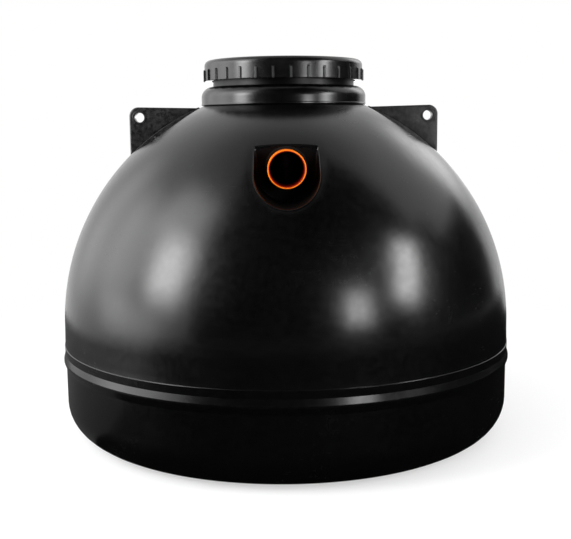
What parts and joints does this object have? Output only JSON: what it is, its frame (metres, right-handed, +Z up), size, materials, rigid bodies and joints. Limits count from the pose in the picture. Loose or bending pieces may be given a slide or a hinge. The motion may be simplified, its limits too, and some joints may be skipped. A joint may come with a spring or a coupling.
{
  "type": "septic tank",
  "caption": "Domed moulded plastic septic tank with screw-lid manhole, lifting ears, recessed inlet and outlet pipes and inner dip pipes.",
  "frame": {"origin": "middle of the tank's flat floor, on the upright axis of the shell", "axes": "+Z up along the shell's axis, -Y to the inlet, +Y to the outlet, X through the two lifting ears"},
  "size_m": [1.5038, 1.5038, 1.2229],
  "materials": {
    "tank_shell": "satin black moulded polyethylene",
    "lid_plastic": "satin black injection moulded plastic",
    "orange_pipe": "orange drain pipe plastic",
    "pipe_rubber": "black rubber",
    "lid_rubber": "black rubber"
  },
  "bodies": {
    "tank": {"tank_floor": "tank_shell", "base_skirt": "tank_shell", "belt_ring": "tank_shell", "tank_wall": "tank_shell", "dome_front_right": "tank_shell", "dome_front_left": "tank_shell", "dome_back_right": "tank_shell", "dome_back_left": "tank_shell", "inlet_recess": "tank_shell", "outlet_recess": "tank_shell", "manhole_collar": "tank_shell", "neck_ring": "tank_shell", "lifting_ear_right": "tank_shell", "lifting_ear_left": "tank_shell", "inlet_pipe": "orange_pipe", "inlet_seal": "pipe_rubber", "inlet_tee": "orange_pipe", "inlet_drop_pipe": "orange_pipe", "outlet_pipe": "orange_pipe", "outlet_seal": "pipe_rubber", "outlet_tee": "orange_pipe", "outlet_dip_pipe": "orange_pipe"},
    "seal": {"lid_seal": "lid_rubber"},
    "lid": {"screw_lid": "lid_plastic"}
  },
  "joints": [
    {"name": "lid_lift", "type": "slide", "parent": "tank", "child": "seal", "axis": [0, 0, 1], "range_m": [0, 0.35]},
    {"name": "lid_turn", "type": "hinge", "parent": "seal", "child": "lid", "pos_m": [0, 0, 1.2], "axis": [0, 0, 1], "range_deg": [0, 540]}
  ]
}
